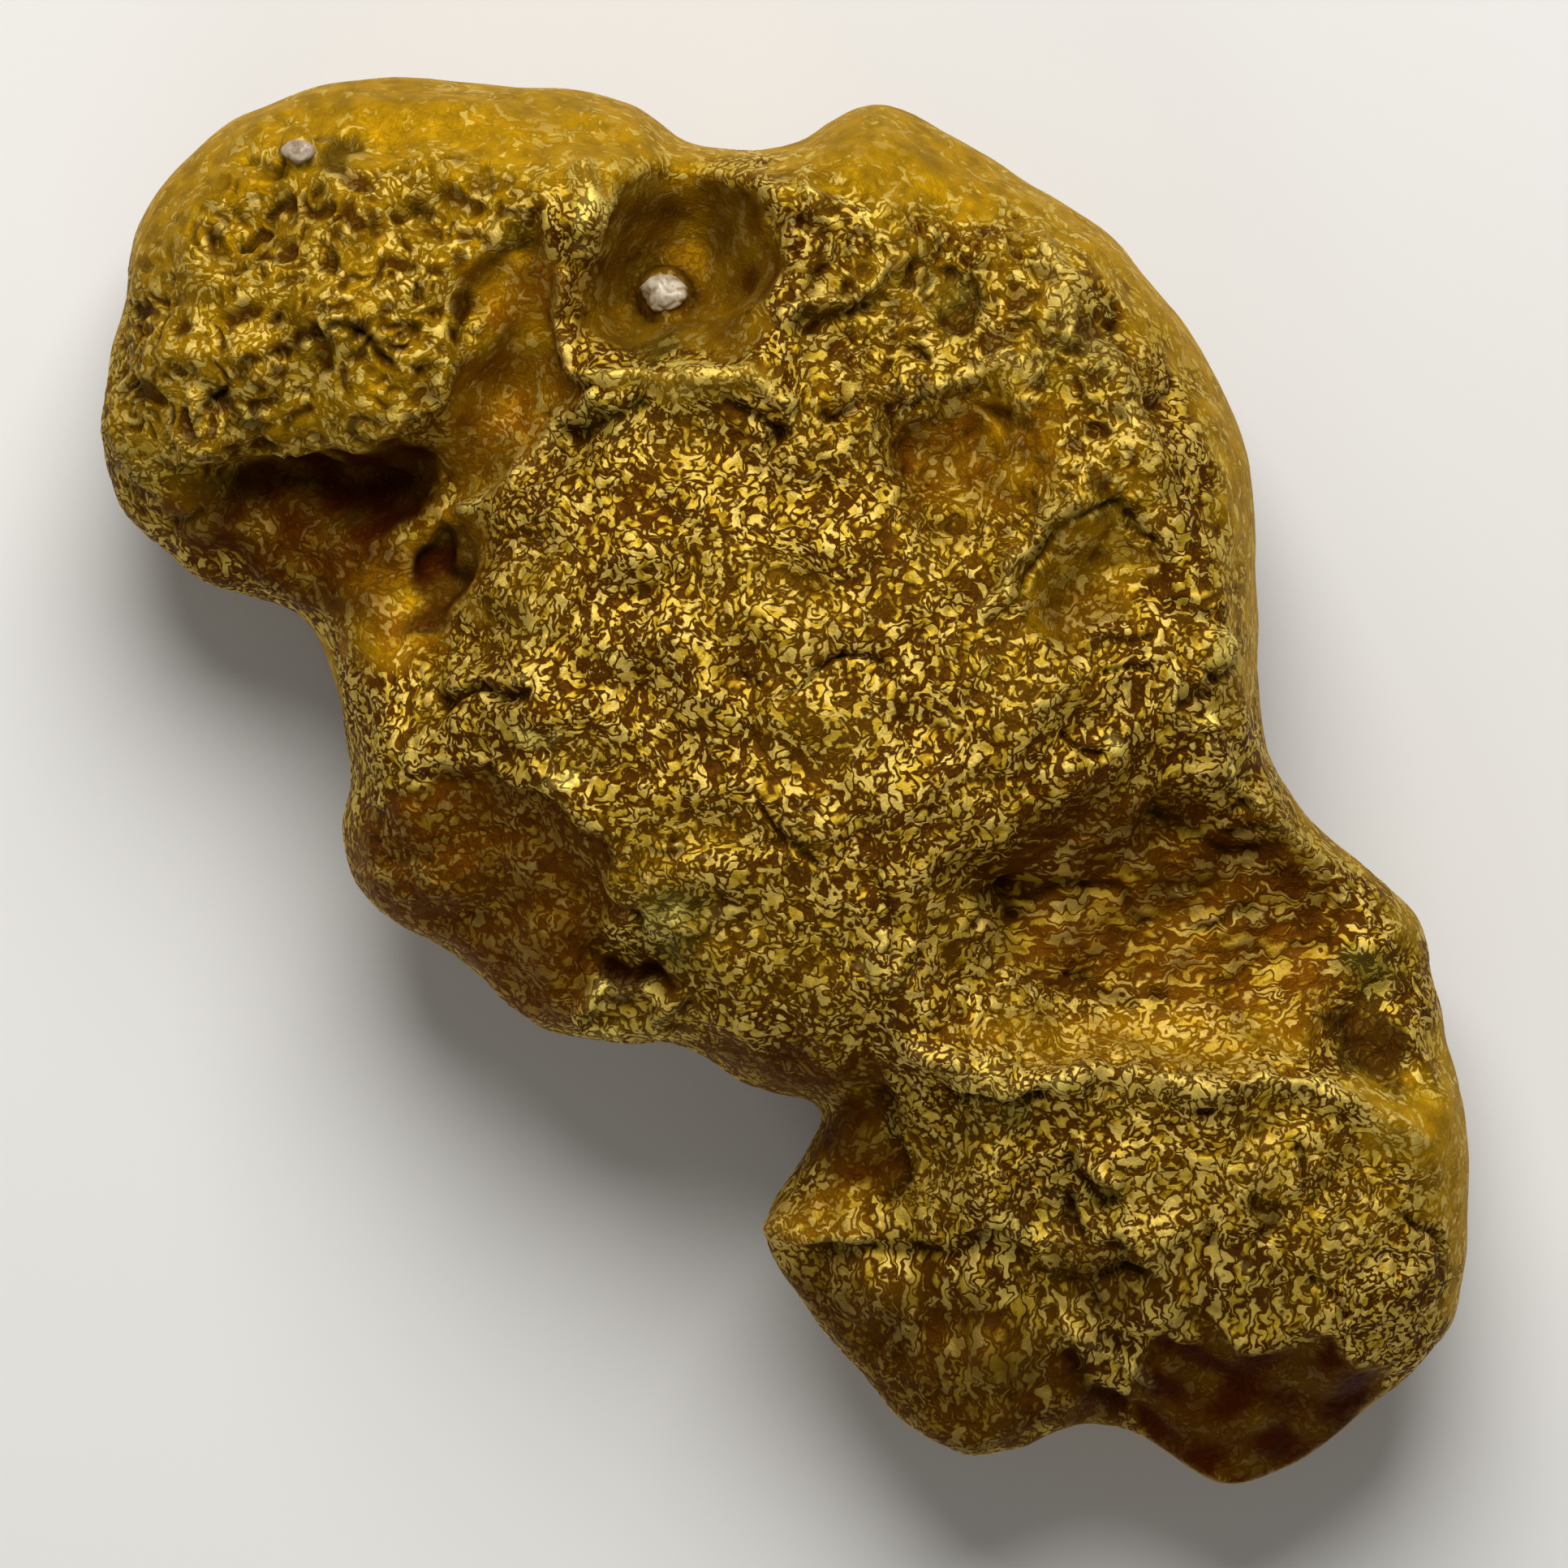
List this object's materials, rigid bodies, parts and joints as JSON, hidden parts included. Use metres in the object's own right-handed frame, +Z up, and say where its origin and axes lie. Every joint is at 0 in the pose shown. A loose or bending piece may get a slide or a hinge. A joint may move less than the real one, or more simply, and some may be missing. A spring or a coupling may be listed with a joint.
{
  "type": "gold nugget",
  "caption": "Flattened, water-worn lump of native gold with a pitted blunt head, a deep smooth pit, a grainy crown and a troughed tail.",
  "frame": {"origin": "under the middle of the nugget's bounding box, on the plane it lies on", "axes": "+X along the nugget's length towards its tail, +Z up out of the grainy upper face, +Y across towards the long smooth shoulder"},
  "size_m": [0.0239, 0.0138, 0.007],
  "materials": {
    "native_gold": "worn grainy native gold, smooth on the rim",
    "quartz": "worn milky quartz"
  },
  "bodies": {
    "root": {"gold_nugget": "native_gold", "quartz_grain_large": "quartz", "quartz_grain_small": "quartz"}
  },
  "joints": []
}
